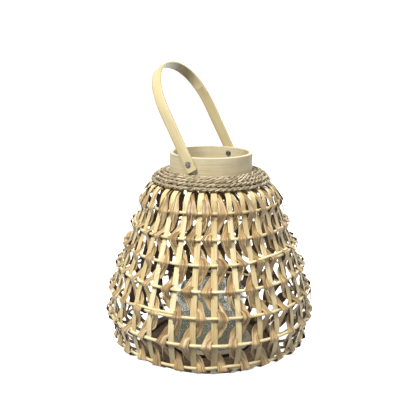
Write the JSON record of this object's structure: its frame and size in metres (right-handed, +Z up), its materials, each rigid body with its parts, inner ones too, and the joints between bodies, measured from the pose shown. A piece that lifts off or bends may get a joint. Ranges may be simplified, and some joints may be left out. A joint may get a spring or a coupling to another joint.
{
  "type": "woven bamboo candle lantern",
  "caption": "Round woven bamboo candle lantern with a rope neck, bent wood collar, swinging strap handle and a lift-out glass candle cylinder.",
  "frame": {"origin": "middle of the underside of the base board, on the surface that the lantern stands on", "axes": "+Z up along the middle of the cage, Y along the handle's pivot axis; the handle leans towards -X at rest"},
  "size_m": [0.2942, 0.2948, 0.409],
  "materials": {
    "bamboo_split": "split bamboo, unfinished, fine lengthwise grain",
    "bamboo_rod": "shaved round bamboo rod, satin",
    "bamboo_sheath": "dried sheath strip, striated, matt",
    "bent_wood": "steam-bent veneer hoop, sanded",
    "bamboo_strap": "bent bamboo strap, sanded, satin",
    "plywood": "thin plywood, raw",
    "seagrass_rope": "twisted two-strand grass rope",
    "dark_steel": "blackened zinc plated steel",
    "black_fibre": "fibre washer",
    "cut_plywood": "laser-cut plywood disc, pale face, charred black edge",
    "clear_glass": "clear soda glass with a faint green edge"
  },
  "bodies": {
    "cage": {"base_board": "plywood", "base_hoop": "bamboo_split", "base_nails": "dark_steel", "staves": "bamboo_split", "leaf_strips": "bamboo_sheath", "ring_1": "bamboo_rod", "ring_2": "bamboo_rod", "ring_3": "bamboo_rod", "ring_4": "bamboo_rod", "ring_5": "bamboo_rod", "ring_6": "bamboo_rod", "ring_7": "bamboo_rod", "neck_hoop": "plywood", "neck_tacks": "dark_steel", "collar_hoop": "bent_wood", "rope_turn_1": "seagrass_rope", "rope_turn_2": "seagrass_rope", "rope_turn_3": "seagrass_rope", "rope_turn_4": "seagrass_rope", "rope_turn_5": "seagrass_rope", "handle_screws": "dark_steel", "handle_washers": "black_fibre", "handle_nuts": "dark_steel", "glass_tray": "cut_plywood"},
    "handle": {"handle_strap": "bamboo_strap"},
    "glass": {"glass_cylinder": "clear_glass"}
  },
  "joints": [
    {"name": "handle_swing", "type": "hinge", "parent": "cage", "child": "handle", "pos_m": [0, 0, 0.277], "axis": [0, 1, 0], "range_deg": [-69, 127]},
    {"name": "glass_lift", "type": "slide", "parent": "cage", "child": "glass", "axis": [0, 0, 1], "range_m": [0, 0.29]}
  ]
}
